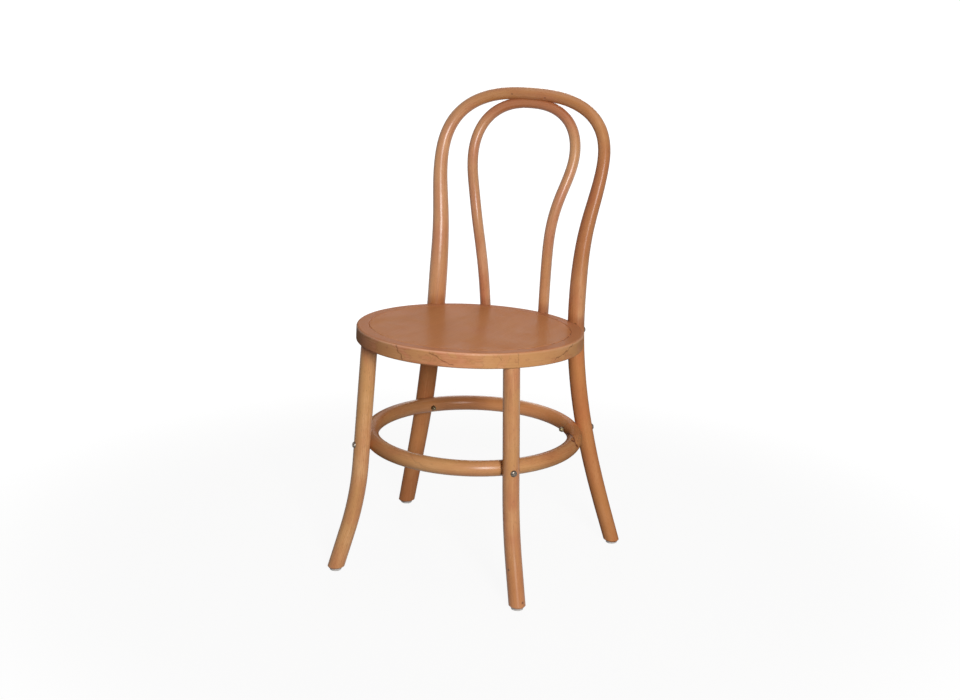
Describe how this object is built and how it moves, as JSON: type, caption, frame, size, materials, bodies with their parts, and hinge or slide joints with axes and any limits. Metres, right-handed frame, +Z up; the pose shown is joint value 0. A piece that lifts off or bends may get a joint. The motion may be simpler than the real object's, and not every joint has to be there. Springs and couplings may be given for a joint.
{
  "type": "bentwood bistro chair",
  "caption": "bentwood side chair with a round rimmed seat, a long hoop that is back and rear legs in one, an inner hoop, splayed front legs and a leg ring",
  "frame": {"origin": "on the floor, under the middle of the bounding box, between the four feet", "axes": "the chair faces -Y, +X is to the right of someone standing behind it, +Z is up"},
  "size_m": [0.4838, 0.4807, 0.8704],
  "materials": {
    "bent_beech": "satin lacquer over a warm brown stain",
    "seat_plywood": "satin lacquer over a warm brown stain",
    "bolt_steel": "dull zinc",
    "screw_steel": "dull zinc",
    "nut_brass": "worn yellow plating",
    "brad_steel": "dark oxide",
    "nail_steel": "bright",
    "glide_plastic": "pale grey"
  },
  "bodies": {
    "root": {"back_hoop": "bent_beech", "crown_screw_left": "screw_steel", "crown_screw_right": "screw_steel", "front_leg_left": "bent_beech", "front_leg_right": "bent_beech", "glide_front_left": "glide_plastic", "glide_front_right": "glide_plastic", "glide_nail_front_left": "nail_steel", "glide_nail_front_right": "nail_steel", "glide_nail_rear_left": "nail_steel", "glide_nail_rear_right": "nail_steel", "glide_rear_left": "glide_plastic", "glide_rear_right": "glide_plastic", "inner_hoop": "bent_beech", "leg_ring": "bent_beech", "ring_bolt_front_left": "bolt_steel", "ring_bolt_front_right": "bolt_steel", "ring_bolt_rear_left": "bolt_steel", "ring_bolt_rear_right": "bolt_steel", "ring_nut_front_left": "nut_brass", "ring_nut_front_right": "nut_brass", "ring_nut_rear_left": "nut_brass", "ring_nut_rear_right": "nut_brass", "scarf_brads": "brad_steel", "seat_bolt_left": "bolt_steel", "seat_bolt_right": "bolt_steel", "seat_nut_left": "bolt_steel", "seat_nut_right": "bolt_steel", "seat_panel": "seat_plywood", "seat_rim": "bent_beech", "seat_washer_left": "bolt_steel", "seat_washer_right": "bolt_steel", "stem_screw_left": "screw_steel", "stem_screw_right": "screw_steel", "tenon_screw_left": "screw_steel", "tenon_screw_right": "screw_steel"}
  },
  "joints": []
}
